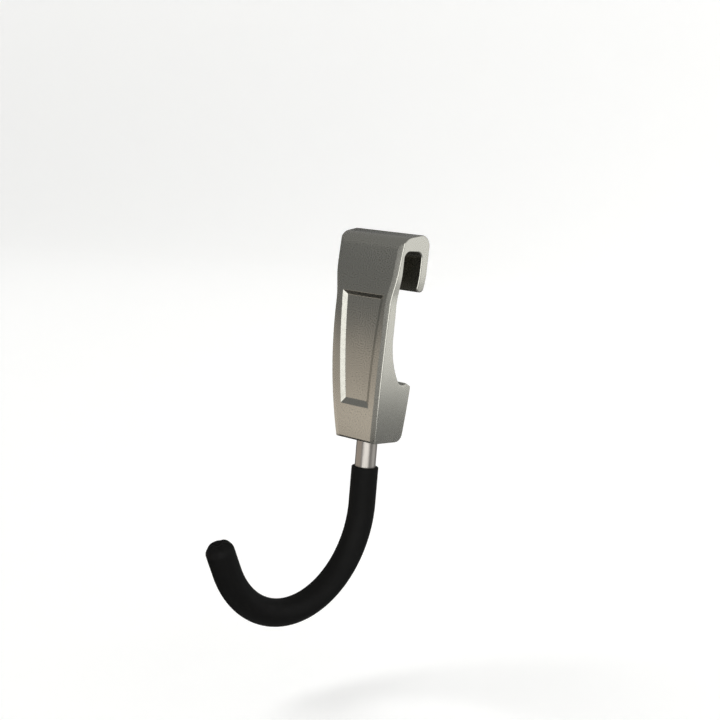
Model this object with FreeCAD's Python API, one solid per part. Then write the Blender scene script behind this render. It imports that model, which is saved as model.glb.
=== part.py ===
import FreeCAD, Part
import math
import os

# Garage utility hook: a die-cast body that hangs over a wall rail and carries a steel J rod
# with a black grip sleeve. Sizes are millimetres.
# Frame: +Z up, -Y out from the wall, X across. The origin is the middle of the seat by which
# the body hangs, the underside of its curled top.

# Rail side of the body
RAIL_SLOT = 9.0
RAIL_HEIGHT = 50.0
SEAT_CORNER = 2.5
LIP_THICKNESS = 3.6
LIP_DROP = 15.0
LIP_ROUND = 1.5
LEDGE_SWEEP = 30.0
LEDGE_CORNER = 3.5
LEDGE_SLOPE = 35.0
LATCH_RISE = 0.7
LATCH_RAMP = 1.3
LATCH_FALL = 2.8
LATCH_ROUND = 0.6
LATCH_FOOT_ROUND = 0.3

# Outline of the body
SHAFT_WALL = 4.6
FRONT_RADIUS = 250.0
CREST_DROP = 36.3
TOP_WALL = 5.8
TOP_SLOPE = 10.0
TOP_FRONT_ROUND = 5.5
TOP_REAR_ROUND = 4.5
BODY_DROP = 72.5
FOOT_REAR_ROUND = 3.0
FOOT_FRONT_ROUND = 1.0
BASE_WIDTH = 19.3
WAIST_WIDTH = 26.7
HEAD_WIDTH = 30.2
WAIST_DROP = 20.5
HEAD_DROP = 7.5
SIDE_SWELL = 2.0
HEAD_FLARE = 0.035
FLANK_DRAFT = 0.07
BEVEL_ACROSS = 2.0
BEVEL_BACK = 0.6
EDGE_ROUND = 0.5

# Sunken panel on the front
PANEL_TOP_DROP = 16.5
PANEL_HEIGHT = 42.7
PANEL_TOP_WIDTH = 20.3
PANEL_BASE_WIDTH = 13.8
PANEL_DEPTH = 1.0
PANEL_SIDE_BEVEL = 1.9
PANEL_TOP_BEVEL = 1.8
PANEL_BASE_BEVEL = 3.0
PANEL_FLOOR_ROUND = 0.4
PANEL_RIM_ROUND = 0.3

# Hollow back of the lobe and its rod socket
CORE_WALL = 2.6
CORE_ROUND = 2.0
SOCKET_WALL = 2.5
WEB_THICKNESS = 2.0
WEB_SETBACK = 3.0

# Rod, pin and sleeve
ROD_DIAMETER = 8.0
ROD_FROM_WALL = 7.0
ROD_SEATED = 17.0
ROD_CHAMFER = 0.6
PIN_DIAMETER = 4.0
PIN_WALL = 0.8
PIN_SLIT = 0.8
PIN_SETBACK = 0.4
PIN_RISE = 10.0
PIN_BLIND_WALL = 3.2
BARE_ROD = 10.8
SLEEVE_DIAMETER = 10.3
SLEEVE_STRAIGHT = 14.2
HOOK_RADIUS = 36.6
HOOK_SWEEP = 153.0
HOOK_TAIL = 11.9
SLEEVE_CAP = 2.2
SLEEVE_TIP_ROUND = 3.4
SLEEVE_RIM_ROUND = 0.4

# Places that follow from the sizes above
BACK_Y = RAIL_SLOT / 2 + LIP_THICKNESS
CREST_Y = -RAIL_SLOT / 2 - SHAFT_WALL
ROD_Y = BACK_Y - ROD_FROM_WALL
SLEEVE_TOP_Z = -BODY_DROP - BARE_ROD
SOCKET_RADIUS = ROD_DIAMETER / 2 + SOCKET_WALL
CORE_TOP_Z = -RAIL_HEIGHT - LATCH_RISE - CORE_WALL
CORE_FOOT_Z = -BODY_DROP + CORE_WALL
PIN_Z = -BODY_DROP + PIN_RISE

# Room that a cutting or bounding solid keeps past the body
BEYOND = 10.0
HALF_SPAN = HEAD_WIDTH / 2 + 2 * BEYOND
NEAR_Y = CREST_Y - BEYOND

Vec = FreeCAD.Vector
MIRROR_PLANE = (Vec(0, 0, 0), Vec(1, 0, 0))


def rounded_wire(corners):
    """Closed wire in the YZ plane through (y, z, radius) corners, each rounded by a tangent arc."""
    arcs = []
    for index, (y, z, radius) in enumerate(corners):
        corner = Vec(0, y, z)
        before = Vec(0, *corners[index - 1][:2])
        after = Vec(0, *corners[(index + 1) % len(corners)][:2])
        to_before = (before - corner).normalize()
        to_after = (after - corner).normalize()
        half_angle = to_before.getAngle(to_after) / 2
        reach = radius / math.tan(half_angle)
        inset = radius / math.sin(half_angle) - radius
        middle = corner + (to_before + to_after).normalize() * inset
        arcs.append((corner + to_before * reach, middle, corner + to_after * reach))
    edges = []
    for index, (start, middle, end) in enumerate(arcs):
        if (end - start).Length > 1e-6:
            edges.append(Part.Arc(start, middle, end).toShape())
        following = arcs[(index + 1) % len(arcs)][0]
        if (following - end).Length > 1e-6:
            edges.append(Part.makeLine(end, following))
    return Part.Wire(edges)


def front_drum(depth):
    """Drum whose round face is the crowned front, sunk by a depth."""
    radius = FRONT_RADIUS - depth
    axis_start = Vec(-HALF_SPAN, CREST_Y + FRONT_RADIUS, -CREST_DROP)
    return Part.makeCylinder(radius, 2 * HALF_SPAN, axis_start, Vec(1, 0, 0))


def front_y(z):
    """Y of the crowned front at a height."""
    return CREST_Y + FRONT_RADIUS - math.sqrt(FRONT_RADIUS**2 - (z + CREST_DROP)**2)


def top_z(y):
    """Height of the sloping top at a depth."""
    return TOP_WALL + y * math.tan(math.radians(TOP_SLOPE))


def side_solid():
    """Right half of the side view's solid: curled top, rail notch, latch ledge and lobe."""
    slope = math.radians(LEDGE_SLOPE)
    run = LEDGE_SWEEP * math.tan(slope / 2) + LEDGE_CORNER * math.tan((math.pi / 2 - slope) / 2)
    inner = RAIL_SLOT / 2
    latch_y = BACK_Y - LATCH_FALL
    outline = rounded_wire([
        (NEAR_Y, -BODY_DROP, 0),
        (NEAR_Y, top_z(NEAR_Y), 0),
        (BACK_Y, top_z(BACK_Y), TOP_REAR_ROUND),
        (BACK_Y, -LIP_DROP, LIP_ROUND),
        (inner, -LIP_DROP, LIP_ROUND),
        (inner, 0, SEAT_CORNER),
        (-inner, 0, SEAT_CORNER),
        (-inner, run * math.cos(slope) - RAIL_HEIGHT, LEDGE_SWEEP),
        (run * math.sin(slope) - inner, -RAIL_HEIGHT, LEDGE_CORNER),
        (latch_y - LATCH_RAMP, -RAIL_HEIGHT, LATCH_FOOT_ROUND),
        (latch_y, LATCH_RISE - RAIL_HEIGHT, LATCH_ROUND),
        (BACK_Y, -RAIL_HEIGHT - LATCH_RISE, LATCH_ROUND),
        (BACK_Y, -BODY_DROP, FOOT_REAR_ROUND),
    ])
    solid = Part.Face(outline).extrude(Vec(HALF_SPAN, 0, 0)).common(front_drum(0))
    top_edge = max(front_edges(solid), key=lambda e: e.CenterOfMass.z)
    solid = solid.makeFillet(TOP_FRONT_ROUND, [top_edge])
    foot_edge = min(front_edges(solid), key=lambda e: e.CenterOfMass.z)
    return solid.makeFillet(FOOT_FRONT_ROUND, [foot_edge])


def front_edges(solid):
    """Edges that run the whole way across the front."""
    across = [e for e in solid.Edges if e.BoundBox.XLength > 0.9 * HALF_SPAN]
    return [e for e in across if e.CenterOfMass.y < -RAIL_SLOT / 2]


def lower_half_width(z):
    """Half the body's width at a height below its waist."""
    swell = (WAIST_WIDTH - BASE_WIDTH) / 2
    share = (z + BODY_DROP) / (BODY_DROP - WAIST_DROP)
    return WAIST_WIDTH / 2 - swell * (1 - share)**SIDE_SWELL


def side_curve(offset):
    """Right edge of the body seen from the front: swelling lower side, waist, shoulder and head."""
    upright = Vec(0, 0, 1)
    flared = Vec(HEAD_FLARE, 0, 1)
    points = []
    for step in range(-1, 5):
        z = step / 4 * (BODY_DROP - WAIST_DROP) - BODY_DROP
        points.append(Vec(lower_half_width(z), 0, z))
    points.append(Vec(HEAD_WIDTH / 2, 0, -HEAD_DROP))
    points.append(points[-1] + flared * (HEAD_DROP + TOP_WALL + BEYOND))
    free = [False] * (len(points) - 3)
    curve = Part.BSplineCurve()
    curve.interpolate(
        Points=[point + Vec(offset, 0, 0) for point in points],
        Tangents=[upright] * (len(points) - 2) + [flared, flared],
        TangentFlags=free + [True, True, True])
    return curve


def edge_face(curve, limit_x, y):
    """Flat face, on the plane at y, between an edge curve and an upright line at limit_x."""
    edge = curve.toShape()
    foot = edge.valueAt(edge.FirstParameter)
    head = edge.valueAt(edge.LastParameter)
    wire = Part.Wire([
        edge,
        Part.makeLine(head, Vec(limit_x, 0, head.z)),
        Part.makeLine(Vec(limit_x, 0, head.z), Vec(limit_x, 0, foot.z)),
        Part.makeLine(Vec(limit_x, 0, foot.z), foot),
    ])
    wire.translate(Vec(0, y, 0))
    return Part.Face(wire)


def drafted(curve):
    """All that lies inside a right edge curve, leaning out towards the wall by the draft."""
    depth = BACK_Y + BEYOND - NEAR_Y
    return edge_face(curve, -HALF_SPAN, NEAR_Y).extrude(Vec(FLANK_DRAFT * depth, depth, 0))


def plan_solid():
    """All that lies inside the right flank."""
    return drafted(side_curve(FLANK_DRAFT * (NEAR_Y - CREST_Y)))


def crowned_curve(points, lean):
    """Curve that puts points, given as on the crowned front, where a leaning cut starts ahead of it."""
    curve = Part.BSplineCurve()
    curve.interpolate([point - Vec(lean * (front_y(point.z) - NEAR_Y), 0, 0) for point in points])
    return curve


def bevel_cut():
    """What the long bevel takes off the right front edge."""
    depth = BACK_Y - NEAR_Y
    lean = BEVEL_ACROSS / BEVEL_BACK
    side = side_curve(-BEVEL_ACROSS)
    steps = 20
    stride = (side.LastParameter - side.FirstParameter) / steps
    points = [side.value(side.FirstParameter + step * stride) for step in range(steps + 1)]
    return edge_face(crowned_curve(points, lean), 2 * HALF_SPAN, NEAR_Y).extrude(Vec(lean * depth, depth, 0))


def panel_cut():
    """Right half of the trapezoid sunk into the front, with bevelled sides and a crowned floor."""
    rim_top = -PANEL_TOP_DROP
    rim_base = rim_top - PANEL_HEIGHT
    lean = -PANEL_SIDE_BEVEL / PANEL_DEPTH
    taper = (PANEL_TOP_WIDTH - PANEL_BASE_WIDTH) / 2 / PANEL_HEIGHT
    steps = 16
    points = []
    for step in range(steps + 1):
        z = rim_base - BEYOND + step / steps * (PANEL_HEIGHT + 2 * BEYOND)
        points.append(Vec(PANEL_BASE_WIDTH / 2 + taper * (z - rim_base), 0, z))
    depth = BACK_Y - NEAR_Y
    inside = edge_face(crowned_curve(points, lean), -HALF_SPAN, NEAR_Y).extrude(Vec(lean * depth, depth, 0))
    corners = []
    for rim_z, bevel in ((rim_top, -PANEL_TOP_BEVEL), (rim_base, PANEL_BASE_BEVEL)):
        for depths in (-2, 3):
            corners.append(Vec(-BEYOND, front_y(rim_z) + depths * PANEL_DEPTH, rim_z + depths * bevel))
    outline = Part.makePolygon([corners[0], corners[1], corners[3], corners[2], corners[0]])
    band = Part.Face(outline).extrude(Vec(BEYOND + HALF_SPAN, 0, 0))
    sunk = band.common(inside).cut(front_drum(PANEL_DEPTH))
    floor = max(sunk.Faces, key=lambda f: f.CenterOfMass.y)
    return sunk.makeFillet(PANEL_FLOOR_ROUND, [e for e in floor.Edges if e.BoundBox.XMax > 0])


def panel_rim(solid):
    """Edges where the sunken panel breaks through the front, on the right half."""
    rim = []
    for edge in solid.Edges:
        middle = edge.valueAt((edge.FirstParameter + edge.LastParameter) / 2)
        below_top = -PANEL_TOP_DROP - middle.z
        in_panel = -1 < below_top < PANEL_HEIGHT + 1 and 0.1 < middle.x < PANEL_TOP_WIDTH / 2 + 1
        if in_panel and abs(middle.y - front_y(middle.z)) < 0.01:
            rim.append(edge)
    return rim


def core_cut():
    """Right half of the lobe's hollow, open at the back, round the rod socket and a web."""
    height = CORE_TOP_Z - CORE_FOOT_Z
    depth = BACK_Y + BEYOND - NEAR_Y
    window = Part.makeBox(HALF_SPAN, depth, height, Vec(0, NEAR_Y, CORE_FOOT_Z))
    inset = CORE_WALL - FLANK_DRAFT * (NEAR_Y - CREST_Y)
    foot = Vec(lower_half_width(CORE_FOOT_Z) - inset, 0, CORE_FOOT_Z)
    head = Vec(lower_half_width(CORE_TOP_Z) - inset, 0, CORE_TOP_Z)
    past = (head - foot) * (BEYOND / height)
    hollow = window.common(drafted(Part.LineSegment(foot - past, head + past))).common(front_drum(CORE_WALL))
    corners = [e for e in hollow.Edges if e.BoundBox.YLength > RAIL_SLOT and e.CenterOfMass.x > 1]
    hollow = hollow.makeFillet(CORE_ROUND, corners)
    socket = Part.makeCylinder(SOCKET_RADIUS, height, Vec(0, ROD_Y, CORE_FOOT_Z))
    web_depth = BACK_Y - WEB_SETBACK - NEAR_Y
    web_z = (CORE_TOP_Z + CORE_FOOT_Z - WEB_THICKNESS) / 2
    web = Part.makeBox(HALF_SPAN, web_depth, WEB_THICKNESS, Vec(0, NEAR_Y, web_z))
    return hollow.cut(socket).cut(web)


def rod_bore():
    """Bore of the socket, open at the foot, and the blind cross hole of its pin."""
    bore = Part.makeCylinder(ROD_DIAMETER / 2, ROD_SEATED, Vec(0, ROD_Y, -BODY_DROP))
    return bore.fuse(pin_blank(BACK_Y - pin_front()))


def pin_front():
    """Y where the pin's hole ends, a wall behind the front."""
    return front_y(PIN_Z) + PIN_BLIND_WALL


def pin_blank(length):
    """Plain cylinder of the pin's size, from the blind end of its hole towards the wall."""
    return Part.makeCylinder(PIN_DIAMETER / 2, length, Vec(0, pin_front(), PIN_Z), Vec(0, 1, 0))


def right_flank(solid):
    """Largest face that looks out to the right."""
    outer = [f for f in solid.Faces if f.CenterOfMass.x > BASE_WIDTH / 2]
    return max(outer, key=lambda f: f.Area)


def cast_body():
    """Die-cast body with its front bevels, rounded edges, sunken panel and cored lobe."""
    half = side_solid().common(plan_solid())
    half = half.makeFillet(EDGE_ROUND, right_flank(half).Edges)
    half = half.cut(bevel_cut())
    long_edge = max(right_flank(half).Edges, key=lambda e: e.Length)
    half = half.makeFillet(EDGE_ROUND, [long_edge])
    half = half.cut(panel_cut())
    half = half.makeFillet(PANEL_RIM_ROUND, panel_rim(half)).cut(core_cut())
    body = half.fuse(half.mirror(*MIRROR_PLANE)).removeSplitter()
    return body.cut(rod_bore())


def round_bar(diameter, start_z, tail):
    """Round bar that runs straight down from start_z, round the hook and straight on along the tail."""
    radius = diameter / 2
    bend_z = SLEEVE_TOP_Z - SLEEVE_STRAIGHT
    sweep = math.radians(HOOK_SWEEP)
    straight = Part.makeCylinder(radius, start_z - bend_z, Vec(0, ROD_Y, bend_z))
    section = Part.Face(Part.Wire([Part.makeCircle(radius, Vec(0, ROD_Y, bend_z))]))
    bend = section.revolve(Vec(0, ROD_Y - HOOK_RADIUS, bend_z), Vec(-1, 0, 0), HOOK_SWEEP)
    end_y = ROD_Y - HOOK_RADIUS * (1 - math.cos(sweep))
    end_z = bend_z - HOOK_RADIUS * math.sin(sweep)
    onward = Vec(0, -math.sin(sweep), -math.cos(sweep))
    last = Part.makeCylinder(radius, tail, Vec(0, end_y, end_z), onward)
    return straight.fuse([bend, last]).removeSplitter()


def tip_circle(bar, diameter):
    """Rim edge of a bar's far end."""
    rims = [e for e in bar.Edges if abs(e.Length - math.pi * diameter) < 0.01]
    return min(rims, key=lambda e: e.CenterOfMass.y)


def rod_blank():
    """J rod before its cross hole, from the socket to just inside the sleeve's closed end."""
    bar = round_bar(ROD_DIAMETER, -BODY_DROP + ROD_SEATED, HOOK_TAIL - SLEEVE_CAP)
    rims = [e for e in bar.Edges if abs(e.Length - math.pi * ROD_DIAMETER) < 0.01]
    head = max(rims, key=lambda e: e.CenterOfMass.z)
    return bar.makeChamfer(ROD_CHAMFER, [head])


def j_rod():
    """Bent steel rod with the cross hole of its pin."""
    return rod_blank().cut(pin_blank(BACK_Y - pin_front()))


def spring_pin():
    """Rolled pin with an open slit, driven through socket and rod from the back."""
    length = ROD_Y + SOCKET_RADIUS - PIN_SETBACK - pin_front()
    inside = PIN_DIAMETER / 2 - PIN_WALL
    bore = Part.makeCylinder(inside, length, Vec(0, pin_front(), PIN_Z), Vec(0, 1, 0))
    slit = Part.makeBox(PIN_SLIT, length, PIN_DIAMETER, Vec(-PIN_SLIT / 2, pin_front(), PIN_Z))
    return pin_blank(length).cut(bore).cut(slit)


def grip_sleeve():
    """Black sleeve over the hook, closed and domed round the rod's end."""
    bar = round_bar(SLEEVE_DIAMETER, SLEEVE_TOP_Z, HOOK_TAIL)
    bar = bar.makeFillet(SLEEVE_TIP_ROUND, [tip_circle(bar, SLEEVE_DIAMETER)])
    rims = [e for e in bar.Edges if abs(e.Length - math.pi * SLEEVE_DIAMETER) < 0.01]
    bar = bar.makeFillet(SLEEVE_RIM_ROUND, [max(rims, key=lambda e: e.CenterOfMass.z)])
    return bar.cut(rod_blank())


NODES = {
    "cast_body": cast_body,
    "j_rod": j_rod,
    "spring_pin": spring_pin,
    "grip_sleeve": grip_sleeve,
}

os.makedirs("parts", exist_ok=True)
for name, make in NODES.items():
    shape = make()
    shape.exportStep(os.path.join("parts", name + ".step"))
    box = shape.BoundBox
    print(name, "valid", shape.isValid(), "solids", len(shape.Solids), "volume", round(shape.Volume, 1))
    print("  x", round(box.XMin, 2), round(box.XMax, 2), "y", round(box.YMin, 2), round(box.YMax, 2),
          "z", round(box.ZMin, 2), round(box.ZMax, 2))
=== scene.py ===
import logging
import math
from dataclasses import dataclass
from enum import Enum
from typing import Any

import bmesh
import bpy
from mathutils import Matrix, Vector


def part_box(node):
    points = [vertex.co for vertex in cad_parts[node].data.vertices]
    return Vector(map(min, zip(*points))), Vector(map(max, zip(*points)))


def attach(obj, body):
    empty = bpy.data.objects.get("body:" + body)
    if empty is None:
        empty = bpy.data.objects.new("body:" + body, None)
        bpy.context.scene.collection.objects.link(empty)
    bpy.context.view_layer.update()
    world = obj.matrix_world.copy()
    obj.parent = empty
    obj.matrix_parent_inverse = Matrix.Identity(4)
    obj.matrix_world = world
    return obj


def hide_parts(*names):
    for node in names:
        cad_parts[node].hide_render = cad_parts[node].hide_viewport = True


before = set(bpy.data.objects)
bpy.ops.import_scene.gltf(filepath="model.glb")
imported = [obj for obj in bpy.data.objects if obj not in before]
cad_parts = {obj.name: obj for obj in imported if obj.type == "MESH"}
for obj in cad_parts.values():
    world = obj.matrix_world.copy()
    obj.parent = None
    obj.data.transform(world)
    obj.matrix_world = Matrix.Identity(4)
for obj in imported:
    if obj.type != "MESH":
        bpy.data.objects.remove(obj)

LOG = logging.getLogger("j_hook")
MM = 0.001
ROOT_BODY = "root"
WHITE = "#FFFFFF"
# Nearly all of the noise texture lies between these two values.
NOISE_LOW = 0.3
NOISE_HIGH = 0.7
# Corners closer than the first are one corner, and a face thinner than the second is a sliver.
MERGE_MM = 0.002
SLIVER_MM = 0.001
# Out of 100, with 50 as neutral: a large flat face outweighs the narrow faces of the round beside it.
FLAT_FACE_WEIGHT = 80


def srgb(code: str, alpha: float = 1.0) -> tuple[float, float, float, float]:
    """Turn an sRGB hex colour into linear values.

    Args:
        code: colour as "#RRGGBB".
        alpha: opacity that goes with it.

    Returns:
        Linear red, green and blue with the alpha.
    """
    channels = []
    for start in (1, 3, 5):
        value = int(code[start:start + 2], 16) / 255
        channels.append(value / 12.92 if value <= 0.04045 else ((value + 0.055) / 1.055) ** 2.4)
    return (*channels, alpha)


def per_mm(size_mm: float) -> float:
    """Texture scale at which one cell of a pattern on Object coordinates is size_mm wide."""
    return 1 / (size_mm * MM)


def add_node(tree: bpy.types.NodeTree, kind: str, inputs: dict[Any, Any] | None = None,
             **settings: Any) -> bpy.types.Node:
    """Add a node with its settings, input values and links.

    Args:
        tree: node tree that takes the node.
        kind: Blender's type name of the node.
        inputs: input socket name or number to a value, or to the socket that feeds it.
        settings: attributes of the node itself.

    Returns:
        The new node.
    """
    node = tree.nodes.new(kind)
    for name, value in settings.items():
        setattr(node, name, value)
    for key, value in (inputs or {}).items():
        if isinstance(value, bpy.types.NodeSocket):
            tree.links.new(value, node.inputs[key])
        else:
            node.inputs[key].default_value = value
    return node


def blank_material(name: str) -> tuple[bpy.types.Material, bpy.types.NodeTree]:
    """Make an empty node material.

    Args:
        name: plain name of the finish.

    Returns:
        The material and its node tree.
    """
    material = bpy.data.materials.new(name)
    material.use_nodes = True
    material.node_tree.nodes.clear()
    return material, material.node_tree


@dataclass(frozen=True)
class SatinCastZinc:
    """Zinc die-casting, bead blasted and plated satin nickel: soft reflections with a fine grain."""

    name: str = "satin_cast_zinc"
    colour: str = "#A9A8A0"
    shade: str = "#A3A29A"
    roughness: float = 0.27
    roughness_spread: float = 0.02
    cloud_mm: float = 14.0
    # Blast grain is about 0.1 mm and is drawn at 0.4 mm, so that it shows.
    grain_mm: float = 0.4
    grain_height_mm: float = 0.0002
    grain_strength: float = 0.3

    def build(self) -> bpy.types.Material:
        """Make the material's nodes.

        Returns:
            The finished material.
        """
        material, tree = blank_material(self.name)
        place = add_node(tree, "ShaderNodeTexCoord").outputs["Object"]
        cloud = add_node(tree, "ShaderNodeTexNoise",
                         {"Vector": place, "Scale": per_mm(self.cloud_mm), "Detail": 1.0})
        grain = add_node(tree, "ShaderNodeTexNoise",
                         {"Vector": place, "Scale": per_mm(self.grain_mm), "Detail": 2.0})
        tint = add_node(tree, "ShaderNodeMix", {
            "Factor": cloud.outputs["Fac"], "A": srgb(self.shade), "B": srgb(self.colour)}, data_type="RGBA")
        gloss = add_node(tree, "ShaderNodeMapRange", {
            "Value": grain.outputs["Fac"], "From Min": NOISE_LOW, "From Max": NOISE_HIGH,
            "To Min": self.roughness - self.roughness_spread,
            "To Max": self.roughness + self.roughness_spread})
        bump = add_node(tree, "ShaderNodeBump", {
            "Height": grain.outputs["Fac"], "Strength": self.grain_strength,
            "Distance": self.grain_height_mm * MM})
        shader = add_node(tree, "ShaderNodeBsdfPrincipled", {
            "Base Color": tint.outputs["Result"], "Metallic": 1.0,
            "Roughness": gloss.outputs["Result"], "Normal": bump.outputs["Normal"]})
        add_node(tree, "ShaderNodeOutputMaterial", {"Surface": shader.outputs["BSDF"]})
        return material


@dataclass(frozen=True)
class DrawnSteel:
    """Cold-drawn round steel: bright, with fine draw lines along the bar."""

    name: str = "drawn_steel"
    colour: str = "#9C9892"
    roughness_low: float = 0.26
    roughness_high: float = 0.42
    # Draw lines are a few hundredths of a millimetre apart and are drawn at 0.25 mm, so that they show.
    line_mm: float = 0.25
    line_length_mm: float = 8.0
    line_height_mm: float = 0.004
    line_strength: float = 0.4

    def build(self) -> bpy.types.Material:
        """Make the material's nodes.

        Returns:
            The finished material.
        """
        material, tree = blank_material(self.name)
        place = add_node(tree, "ShaderNodeTexCoord").outputs["Object"]
        along = add_node(tree, "ShaderNodeMapping", {
            "Vector": place, "Scale": (1.0, 1.0, self.line_mm / self.line_length_mm)})
        lines = add_node(tree, "ShaderNodeTexNoise", {
            "Vector": along.outputs["Vector"], "Scale": per_mm(self.line_mm), "Detail": 2.0})
        gloss = add_node(tree, "ShaderNodeMapRange", {
            "Value": lines.outputs["Fac"], "From Min": NOISE_LOW, "From Max": NOISE_HIGH,
            "To Min": self.roughness_low, "To Max": self.roughness_high})
        bump = add_node(tree, "ShaderNodeBump", {
            "Height": lines.outputs["Fac"], "Strength": self.line_strength,
            "Distance": self.line_height_mm * MM})
        shader = add_node(tree, "ShaderNodeBsdfPrincipled", {
            "Base Color": srgb(self.colour), "Metallic": 1.0,
            "Roughness": gloss.outputs["Result"], "Normal": bump.outputs["Normal"]})
        add_node(tree, "ShaderNodeOutputMaterial", {"Surface": shader.outputs["BSDF"]})
        return material


@dataclass(frozen=True)
class DarkSpringSteel:
    """Hardened spring steel, left dark from the furnace with a thin film of oil."""

    name: str = "dark_spring_steel"
    colour: str = "#5A5650"
    bloom: str = "#3C3A38"
    roughness: float = 0.36
    bloom_mm: float = 1.2

    def build(self) -> bpy.types.Material:
        """Make the material's nodes.

        Returns:
            The finished material.
        """
        material, tree = blank_material(self.name)
        place = add_node(tree, "ShaderNodeTexCoord").outputs["Object"]
        bloom = add_node(tree, "ShaderNodeTexNoise",
                         {"Vector": place, "Scale": per_mm(self.bloom_mm), "Detail": 4.0})
        tint = add_node(tree, "ShaderNodeMix", {
            "Factor": bloom.outputs["Fac"], "A": srgb(self.bloom), "B": srgb(self.colour)}, data_type="RGBA")
        shader = add_node(tree, "ShaderNodeBsdfPrincipled", {
            "Base Color": tint.outputs["Result"], "Metallic": 1.0, "Roughness": self.roughness})
        add_node(tree, "ShaderNodeOutputMaterial", {"Surface": shader.outputs["BSDF"]})
        return material


@dataclass(frozen=True)
class SoftVinyl:
    """Soft black PVC tube: matt, with a fine skin texture that breaks up its sheen."""

    name: str = "soft_black_vinyl"
    colour: str = "#080807"
    bloom: str = "#0D0D0C"
    roughness: float = 0.64
    roughness_spread: float = 0.05
    ior: float = 1.53
    sheen_level: float = 0.095
    bloom_mm: float = 6.0
    # The skin's texture is under 0.1 mm and is drawn at 0.3 mm, so that it shows.
    skin_mm: float = 0.3
    skin_height_mm: float = 0.015
    skin_strength: float = 0.5

    def build(self) -> bpy.types.Material:
        """Make the material's nodes.

        Returns:
            The finished material.
        """
        material, tree = blank_material(self.name)
        place = add_node(tree, "ShaderNodeTexCoord").outputs["Object"]
        bloom = add_node(tree, "ShaderNodeTexNoise",
                         {"Vector": place, "Scale": per_mm(self.bloom_mm), "Detail": 4.0})
        skin = add_node(tree, "ShaderNodeTexNoise",
                        {"Vector": place, "Scale": per_mm(self.skin_mm), "Detail": 2.0})
        tint = add_node(tree, "ShaderNodeMix", {
            "Factor": bloom.outputs["Fac"], "A": srgb(self.colour), "B": srgb(self.bloom)}, data_type="RGBA")
        gloss = add_node(tree, "ShaderNodeMapRange", {
            "Value": bloom.outputs["Fac"], "From Min": NOISE_LOW, "From Max": NOISE_HIGH,
            "To Min": self.roughness - self.roughness_spread,
            "To Max": self.roughness + self.roughness_spread})
        bump = add_node(tree, "ShaderNodeBump", {
            "Height": skin.outputs["Fac"], "Strength": self.skin_strength,
            "Distance": self.skin_height_mm * MM})
        shader = add_node(tree, "ShaderNodeBsdfPrincipled", {
            "Base Color": tint.outputs["Result"], "Roughness": gloss.outputs["Result"],
            "IOR": self.ior, "Specular IOR Level": self.sheen_level, "Normal": bump.outputs["Normal"]})
        add_node(tree, "ShaderNodeOutputMaterial", {"Surface": shader.outputs["BSDF"]})
        return material


@dataclass(frozen=True)
class PalePaper:
    """Seamless white studio paper: quite matt, lit from the front and a little from behind."""

    name: str = "pale_paper"
    colour: str = "#F2F2F1"
    # Light that comes through the paper from behind keeps its brightness even.
    glow: float = 0.24

    def build(self) -> bpy.types.Material:
        """Make the material's nodes.

        Returns:
            The finished material.
        """
        material, tree = blank_material(self.name)
        paper = add_node(tree, "ShaderNodeBsdfDiffuse", {"Color": srgb(self.colour)})
        through = add_node(tree, "ShaderNodeEmission", {"Color": srgb(WHITE), "Strength": self.glow})
        both = add_node(tree, "ShaderNodeAddShader", {0: paper.outputs[0], 1: through.outputs[0]})
        add_node(tree, "ShaderNodeOutputMaterial", {"Surface": both.outputs[0]})
        return material


def smooth_copy(node: str, name: str, sharp_degrees: float) -> bpy.types.Object:
    """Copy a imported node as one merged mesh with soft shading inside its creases.

    Args:
        node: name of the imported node.
        name: name of the new piece.
        sharp_degrees: angle from which an edge stays a crease.

    Returns:
        The new piece, in place and unlinked from the node.
    """
    shell = bmesh.new()
    shell.from_mesh(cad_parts[node].data)
    bmesh.ops.remove_doubles(shell, verts=shell.verts, dist=MERGE_MM * MM)
    bmesh.ops.dissolve_degenerate(shell, edges=shell.edges, dist=SLIVER_MM * MM)
    for face in shell.faces:
        face.smooth = True
    mesh = bpy.data.meshes.new(name)
    shell.to_mesh(mesh)
    shell.free()
    if "custom_normal" in mesh.attributes:
        mesh.attributes.remove(mesh.attributes["custom_normal"])
    mesh.materials.clear()
    mesh.set_sharp_from_angle(angle=math.radians(sharp_degrees))
    piece = bpy.data.objects.new(name, mesh)
    bpy.context.scene.collection.objects.link(piece)
    weighted = piece.modifiers.new("even_flats", "WEIGHTED_NORMAL")
    weighted.keep_sharp = True
    weighted.weight = FLAT_FACE_WEIGHT
    return piece


def seat(piece: bpy.types.Object, node: str) -> None:
    """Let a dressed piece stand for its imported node.

    Args:
        piece: the dressed piece.
        node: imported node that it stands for.
    """
    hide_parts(node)
    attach(piece, ROOT_BODY)


@dataclass
class CastBody:
    """Cast body that hangs over the rail, with the pin that holds its rod."""

    sharp_degrees: float = 32.0
    casting: bpy.types.Object | None = None
    pin: bpy.types.Object | None = None

    def build(self) -> None:
        """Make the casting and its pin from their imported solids."""
        self.casting = smooth_copy("cast_body", "cast_body_skin", self.sharp_degrees)
        self.pin = smooth_copy("spring_pin", "spring_pin_skin", self.sharp_degrees)

    def dress(self) -> None:
        """Give both pieces their metal and seat them."""
        self.casting.data.materials.append(SatinCastZinc().build())
        self.pin.data.materials.append(DarkSpringSteel().build())
        seat(self.casting, "cast_body")
        seat(self.pin, "spring_pin")

    def pieces(self) -> tuple[bpy.types.Object, ...]:
        """The finished pieces of this sub-assembly."""
        return self.casting, self.pin


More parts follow.
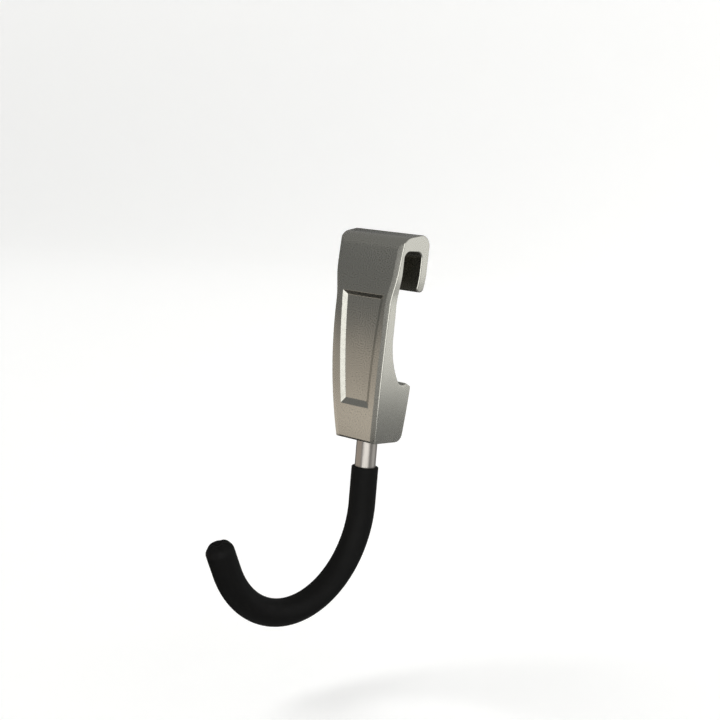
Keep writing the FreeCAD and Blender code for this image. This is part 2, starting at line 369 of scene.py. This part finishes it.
@dataclass
class HookBar:
    """Round bar bent to a J, with the sleeve over its lower part. Sizes are millimetres."""

    sleeve_straight: float = 14.2
    bend_radius: float = 36.6
    sweep_degrees: float = 153.0
    tail: float = 11.9
    sleeve_cap: float = 2.2
    rod_round: float = 0.6
    sleeve_rim_round: float = 0.4
    sleeve_tip_round: float = 3.4
    # Width of each ring of the dimple, and its rise from the ring before, which is below zero as it sinks.
    dimple_ring: float = 0.42
    dimple_rises: tuple[float, ...] = (-0.04, -0.3, -0.25)
    pleat_reach: float = 7.0
    pleat_depth: float = 0.34
    # Count round the end, share of the depth and phase of each set of folds.
    pleats: tuple[tuple[int, float, float], ...] = ((5, 0.6, 0.9), (8, 0.4, 2.2))
    crease_degrees: float = 50.0
    rings: int = 260
    sides: int = 72
    rod: bpy.types.Object | None = None
    sleeve: bpy.types.Object | None = None

    def build(self) -> None:
        """Sweep the rod and the sleeve along the J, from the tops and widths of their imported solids."""
        _, rod_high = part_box("j_rod")
        _, sleeve_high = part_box("grip_sleeve")
        tree = self.sweep_tree()
        # The bar's middle line lies at X = 0, so its highest X is its radius.
        route = {
            "Axis Y": rod_high.y - rod_high.x, "Bend Z": sleeve_high.z - self.sleeve_straight * MM,
            "Bend Radius": self.bend_radius * MM, "Sweep": math.radians(self.sweep_degrees)}
        self.rod = self.swept("j_rod_bar", tree, route | {
            "Top": rod_high.z, "Tail": (self.tail - self.sleeve_cap) * MM, "Radius": rod_high.x,
            "Head Round": self.rod_round * MM, "Tip Round": self.rod_round * MM,
            "Material": DrawnSteel().build()})
        self.sleeve = self.swept("grip_sleeve_tube", tree, route | {
            "Top": sleeve_high.z, "Tail": self.tail * MM, "Radius": sleeve_high.x,
            "Head Round": self.sleeve_rim_round * MM, "Tip Round": self.sleeve_tip_round * MM,
            "Material": SoftVinyl().build()})
        self.gather_tip(self.sleeve.data)

    def dress(self) -> None:
        """Seat the rod and the sleeve, which have their finish from the sweep."""
        seat(self.rod, "j_rod")
        seat(self.sleeve, "grip_sleeve")

    def pieces(self) -> tuple[bpy.types.Object, ...]:
        """The finished pieces of this sub-assembly."""
        return self.rod, self.sleeve

    def gather_tip(self, mesh: bpy.types.Mesh) -> None:
        """Pull the sleeve's closed end together in a dimple, with shallow pleats that run to it.

        Args:
            mesh: the swept sleeve.
        """
        shell = bmesh.new()
        shell.from_mesh(mesh)
        # Only the two end caps have as many corners as a ring, and the tip's is the one further out.
        cap = min(shell.faces, key=lambda face: (len(face.verts) != self.sides, face.calc_center_median().y))
        middle = cap.calc_center_median()
        outward = cap.normal.copy()
        across = Vector((1.0, 0.0, 0.0))
        along = outward.cross(across)
        for rise in self.dimple_rises:
            bmesh.ops.inset_region(shell, faces=[cap], thickness=self.dimple_ring * MM, depth=rise * MM)
        for face in shell.faces:
            face.smooth = True
        reach = self.pleat_reach * MM
        shell.normal_update()
        moves = []
        for vertex in shell.verts:
            arm = vertex.co - middle
            if arm.length > reach:
                continue
            angle = math.atan2(arm.dot(along), arm.dot(across))
            fold = sum(share * (1 + math.cos(count * angle + phase)) / 2
                       for count, share, phase in self.pleats)
            # The pleats fade out towards the sleeve's side and into the dimple.
            fade = math.sin(math.pi * arm.length / reach) ** 2
            moves.append((vertex, vertex.normal * (-self.pleat_depth * MM * fold * fade)))
        for vertex, move in moves:
            vertex.co += move
        shell.to_mesh(mesh)
        shell.free()

    def sweep_tree(self) -> bpy.types.NodeTree:
        """Build the tree that bends a straight line to the J and sweeps a circle along it.

        Returns:
            A Geometry Nodes tree with one named input for each size.
        """
        tree = bpy.data.node_groups.new("j_bar_sweep", "GeometryNodeTree")
        names = ("Axis Y", "Top", "Bend Z", "Bend Radius", "Sweep", "Tail", "Radius",
                 "Head Round", "Tip Round")
        for name in names:
            tree.interface.new_socket(name, in_out="INPUT", socket_type="NodeSocketFloat")
        tree.interface.new_socket("Material", in_out="INPUT", socket_type="NodeSocketMaterial")
        tree.interface.new_socket("Geometry", in_out="OUTPUT", socket_type="NodeSocketGeometry")
        sizes = add_node(tree, "NodeGroupInput").outputs
        known = {name: sizes[name] for name in names}
        known["index"] = add_node(tree, "GeometryNodeSplineParameter").outputs["Index"]
        for name, operation, *terms in self.sweep_sums():
            node = add_node(tree, "ShaderNodeMath", {
                place: known.get(term, term) for place, term in enumerate(terms)}, operation=operation)
            known[name] = node.outputs[0]
        place = add_node(tree, "ShaderNodeCombineXYZ", {"Y": known["y"], "Z": known["z"]})
        line = add_node(tree, "GeometryNodeCurvePrimitiveLine", {"End": (0.0, 0.0, -1.0)})
        spaced = add_node(tree, "GeometryNodeResampleCurve", {"Curve": line.outputs[0], "Count": self.rings})
        bent = add_node(tree, "GeometryNodeSetPosition",
                        {"Geometry": spaced.outputs[0], "Position": place.outputs[0]})
        ring = add_node(tree, "GeometryNodeCurvePrimitiveCircle", {"Resolution": self.sides, "Radius": 1.0})
        tube = add_node(tree, "GeometryNodeCurveToMesh", {
            "Curve": bent.outputs[0], "Profile Curve": ring.outputs[0],
            "Scale": known["radius"], "Fill Caps": True})
        soft = add_node(tree, "GeometryNodeSetShadeSmooth",
                        {"Geometry": tube.outputs[0], "Shade Smooth": True})
        real = add_node(tree, "GeometryNodeRealizeInstances", {"Geometry": soft.outputs[0]})
        dressed = add_node(tree, "GeometryNodeSetMaterial",
                           {"Geometry": real.outputs[0], "Material": sizes["Material"]})
        add_node(tree, "NodeGroupOutput", {"Geometry": dressed.outputs[0]})
        return tree

    def sweep_sums(self) -> tuple[tuple[Any, ...], ...]:
        """List the sums that place and size each ring of the sweep.

        Returns:
            Rows of a result's name, an operation and its terms: a tree input, an earlier result or a number.
        """
        return (
            ("straight", "SUBTRACT", "Top", "Bend Z"),
            ("arc", "MULTIPLY", "Bend Radius", "Sweep"),
            ("to_tail", "ADD", "straight", "arc"),
            ("length", "ADD", "to_tail", "Tail"),
            # Rings crowd towards both ends, where the rim and the dome need them.
            ("turn", "MULTIPLY", "index", math.pi / (self.rings - 1)),
            ("swing", "COSINE", "turn"),
            ("half_swing", "MULTIPLY", "swing", 0.5),
            ("share", "SUBTRACT", 0.5, "half_swing"),
            ("run", "MULTIPLY", "length", "share"),
            # The run goes straight down, then round the bend, then along the tail.
            ("down", "MINIMUM", "run", "straight"),
            ("past_straight", "SUBTRACT", "run", "straight"),
            ("in_bend", "MAXIMUM", "past_straight", 0.0),
            ("bend_turn", "DIVIDE", "in_bend", "Bend Radius"),
            ("angle", "MINIMUM", "bend_turn", "Sweep"),
            ("past_bend", "SUBTRACT", "run", "to_tail"),
            ("in_tail", "MAXIMUM", "past_bend", 0.0),
            ("angle_cosine", "COSINE", "angle"),
            ("bend_share", "SUBTRACT", 1.0, "angle_cosine"),
            ("bend_out", "MULTIPLY", "Bend Radius", "bend_share"),
            ("angle_sine", "SINE", "angle"),
            ("bend_down", "MULTIPLY", "Bend Radius", "angle_sine"),
            ("sweep_sine", "SINE", "Sweep"),
            ("tail_out", "MULTIPLY", "in_tail", "sweep_sine"),
            ("sweep_cosine", "COSINE", "Sweep"),
            ("tail_down", "MULTIPLY", "in_tail", "sweep_cosine"),
            ("out", "ADD", "bend_out", "tail_out"),
            ("y", "SUBTRACT", "Axis Y", "out"),
            ("z_straight", "SUBTRACT", "Top", "down"),
            ("z_bend", "SUBTRACT", "z_straight", "bend_down"),
            ("z", "SUBTRACT", "z_bend", "tail_down"),
            # Each end's rounding is a quarter circle that takes from the radius.
            ("head_depth", "DIVIDE", "run", "Head Round"),
            ("to_tip", "SUBTRACT", "length", "run"),
            ("tip_depth", "DIVIDE", "to_tip", "Tip Round"),
            *(row for end in ("head", "tip") for row in (
                (end + "_short", "SUBTRACT", 1.0, end + "_depth"),
                (end + "_inside", "MAXIMUM", end + "_short", 0.0),
                (end + "_square", "MULTIPLY", end + "_inside", end + "_inside"),
                (end + "_rest", "SUBTRACT", 1.0, end + "_square"),
                (end + "_kept", "SQRT", end + "_rest"),
                (end + "_lost", "SUBTRACT", 1.0, end + "_kept"),
                (end + "_loss", "MULTIPLY", end + "_lost", end.title() + " Round"))),
            ("losses", "ADD", "head_loss", "tip_loss"),
            ("radius", "SUBTRACT", "Radius", "losses"),
        )

    def swept(self, name: str, tree: bpy.types.NodeTree, inputs: dict[str, Any]) -> bpy.types.Object:
        """Make one bar of the J as a plain mesh.

        Args:
            name: name of the piece.
            tree: the sweep's Geometry Nodes tree.
            inputs: the size or material for each of the tree's inputs, in metres and radians.

        Returns:
            The bar, with its place in its mesh and no modifier left.
        """
        maker = bpy.data.objects.new(name + "_maker", bpy.data.meshes.new(name + "_maker"))
        bpy.context.scene.collection.objects.link(maker)
        modifier = maker.modifiers.new("sweep", "NODES")
        modifier.node_group = tree
        for item in tree.interface.items_tree:
            if item.in_out == "INPUT":
                modifier[item.identifier] = inputs[item.name]
        graph = bpy.context.evaluated_depsgraph_get()
        mesh = bpy.data.meshes.new_from_object(maker.evaluated_get(graph))
        bpy.data.objects.remove(maker)
        mesh.name = name
        mesh.set_sharp_from_angle(angle=math.radians(self.crease_degrees))
        piece = bpy.data.objects.new(name, mesh)
        bpy.context.scene.collection.objects.link(piece)
        return piece


def heading(azimuth: float, elevation: float) -> Vector:
    """Turn an azimuth and an elevation into a direction.

    Args:
        azimuth: degrees round from the front of the object, towards +X.
        elevation: degrees above the level.

    Returns:
        A unit vector that points away from the object.
    """
    turn = math.radians(azimuth)
    rise = math.radians(elevation)
    return Vector((math.sin(turn) * math.cos(rise), -math.cos(turn) * math.cos(rise), math.sin(rise)))


class CardUse(Enum):
    """What a studio card is, with the colour of its cloth."""

    SOFTBOX = WHITE
    FLAG = "#F4F5F6"
    WARM_CARD = "#FFF3E8"


@dataclass(frozen=True)
class StudioCard:
    """Card round the object that only its reflections show. Angles are degrees, as seen from the object."""

    name: str
    use: CardUse
    azimuth: float
    elevation: float
    width: float
    height: float
    strength: float
    distance: float = 0.5

    def build(self, centre: Vector) -> None:
        """Hang the card, facing a point.

        Args:
            centre: the point that it faces, in metres.
        """
        away = heading(self.azimuth, self.elevation)
        facing = away.to_track_quat("Z", "Y").to_matrix().to_4x4()
        place = Matrix.Translation(centre + away * self.distance) @ facing
        half_width = self.distance * math.tan(math.radians(self.width / 2))
        half_height = self.distance * math.tan(math.radians(self.height / 2))
        corners = [(-half_width, -half_height, 0), (half_width, -half_height, 0),
                   (half_width, half_height, 0), (-half_width, half_height, 0)]
        mesh = bpy.data.meshes.new(self.name)
        mesh.from_pydata([place @ Vector(corner) for corner in corners], [], [(0, 1, 2, 3)])
        material, tree = blank_material(self.name)
        glow = add_node(tree, "ShaderNodeEmission",
                        {"Color": srgb(self.use.value), "Strength": self.strength})
        add_node(tree, "ShaderNodeOutputMaterial", {"Surface": glow.outputs[0]})
        mesh.materials.append(material)
        card = bpy.data.objects.new(self.name, mesh)
        bpy.context.scene.collection.objects.link(card)
        card.visible_camera = False
        card.visible_diffuse = False
        card.visible_shadow = False
        card.visible_transmission = False


@dataclass
class Studio:
    """Plain pale floor that rises to a round backdrop, soft lights, cards and camera.

    Lengths are metres and angles are degrees, unless a name says otherwise.
    """

    centre: tuple[float, float, float] = (0.0, -0.02, -0.04)
    floor_z: float = -0.165
    floor_radius: float = 2.2
    sweep_radius: float = 0.8
    sweep_steps: int = 12
    wall_height: float = 2.6
    round_steps: int = 96
    room_light: float = 0.36
    key_azimuth: float = -50.0
    key_elevation: float = 52.0
    key_spread: float = 34.0
    key_strength: float = 1.25
    camera_place: tuple[float, float, float] = (0.3527, -0.4121, 0.0272)
    camera_right: tuple[float, float, float] = (0.74473, 0.66228, 0.08216)
    camera_up: tuple[float, float, float] = (-0.14608, 0.04165, 0.98839)
    lens_mm: float = 72.42
    sensor_mm: float = 36.0
    nearest_shown: float = 0.02
    # Name, use, azimuth, elevation, width, height, strength and, where it isn't the usual one, distance.
    cards: tuple[StudioCard, ...] = (
        StudioCard("camera_side_softbox", CardUse.SOFTBOX, 40.0, 4.0, 70.0, 66.0, 2.7),
        StudioCard("rear_right_softbox", CardUse.SOFTBOX, 134.0, 11.0, 44.0, 54.0, 1.6),
        StudioCard("low_rear_flag", CardUse.FLAG, 136.0, -36.0, 50.0, 36.0, 0.3),
        StudioCard("mid_front_card", CardUse.WARM_CARD, -56.0, -11.0, 76.0, 13.0, 0.76),
        StudioCard("low_front_card", CardUse.WARM_CARD, -56.0, -28.0, 72.0, 20.0, 1.2, 0.44),
        StudioCard("right_card", CardUse.SOFTBOX, 88.0, 24.0, 40.0, 34.0, 1.0),
        StudioCard("front_left_flag", CardUse.FLAG, -56.0, 6.0, 74.0, 20.0, 0.28),
        StudioCard("rear_left_flag", CardUse.FLAG, -120.0, -6.0, 44.0, 60.0, 0.04),
        StudioCard("low_left_flag", CardUse.FLAG, -84.0, -48.0, 60.0, 34.0, 0.02, 0.28),
    )

    def build(self) -> None:
        """Make the backdrop, the lights, the cards and the camera."""
        self.backdrop()
        self.lights()
        for card in self.cards:
            card.build(Vector(self.centre))
        self.camera()

    def backdrop(self) -> None:
        """Lathe the floor and its rising edge as one round sheet."""
        profile = [(0.0, 0.0), (self.floor_radius, 0.0)]
        for step in range(1, self.sweep_steps + 1):
            angle = math.pi / 2 * step / self.sweep_steps
            profile.append((self.floor_radius + self.sweep_radius * math.sin(angle),
                            self.sweep_radius * (1 - math.cos(angle))))
        profile.append((self.floor_radius + self.sweep_radius, self.wall_height))
        shell = bmesh.new()
        rows = []
        for radius, height in profile:
            row = []
            for step in range(self.round_steps):
                turn = 2 * math.pi * step / self.round_steps
                place = (radius * math.sin(turn), radius * math.cos(turn), height + self.floor_z)
                row.append(shell.verts.new(place))
            rows.append(row)
        for lower, upper in zip(rows, rows[1:]):
            for step in range(self.round_steps):
                following = (step + 1) % self.round_steps
                shell.faces.new((lower[step], upper[step], upper[following], lower[following]))
        bmesh.ops.remove_doubles(shell, verts=shell.verts, dist=MERGE_MM * MM)
        for face in shell.faces:
            face.smooth = True
        mesh = bpy.data.meshes.new("pale_sweep")
        shell.to_mesh(mesh)
        shell.free()
        mesh.materials.append(PalePaper().build())
        sheet = bpy.data.objects.new("pale_sweep", mesh)
        bpy.context.scene.collection.objects.link(sheet)
        # The cards and the grey room are what the metal mirrors.
        sheet.visible_glossy = False

    def lights(self) -> None:
        """Set the even room light and one broad soft lamp."""
        world = bpy.data.worlds.new("studio")
        bpy.context.scene.world = world
        world.use_nodes = True
        tree = world.node_tree
        tree.nodes.clear()
        sky = add_node(tree, "ShaderNodeBackground", {"Color": srgb(WHITE), "Strength": self.room_light})
        add_node(tree, "ShaderNodeOutputWorld", {"Surface": sky.outputs[0]})
        key = bpy.data.lights.new("key_lamp", "SUN")
        key.angle = math.radians(self.key_spread)
        key.energy = self.key_strength
        lamp = bpy.data.objects.new("key_lamp", key)
        away = heading(self.key_azimuth, self.key_elevation)
        lamp.rotation_euler = away.to_track_quat("Z", "Y").to_euler()
        # The metal mirrors the cards and not the lamp, which lights the floor and the sleeve.
        lamp.visible_glossy = False
        bpy.context.scene.collection.objects.link(lamp)
        bpy.context.scene.view_settings.view_transform = "Standard"

    def camera(self) -> None:
        """Set the camera at the photograph's viewing angle."""
        data = bpy.data.cameras.new("photo_camera")
        data.sensor_width = self.sensor_mm
        data.lens = self.lens_mm
        data.clip_start = self.nearest_shown
        camera = bpy.data.objects.new("photo_camera", data)
        right = Vector(self.camera_right)
        upward = Vector(self.camera_up)
        backward = right.cross(upward).normalized()
        turn = Matrix((right, upward, backward)).transposed().to_4x4()
        camera.matrix_world = Matrix.Translation(self.camera_place) @ turn
        bpy.context.scene.collection.objects.link(camera)
        bpy.context.scene.camera = camera


def main() -> None:
    """Build and dress the hook, then set the studio."""
    logging.basicConfig(level=logging.INFO, format="%(message)s")
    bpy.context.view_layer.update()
    for assembly in (CastBody(), HookBar()):
        assembly.build()
        assembly.dress()
        for piece in assembly.pieces():
            LOG.info("%s: %d faces, %s", piece.name, len(piece.data.polygons), piece.data.materials[0].name)
    Studio().build()


if __name__ == "__main__":
    main()
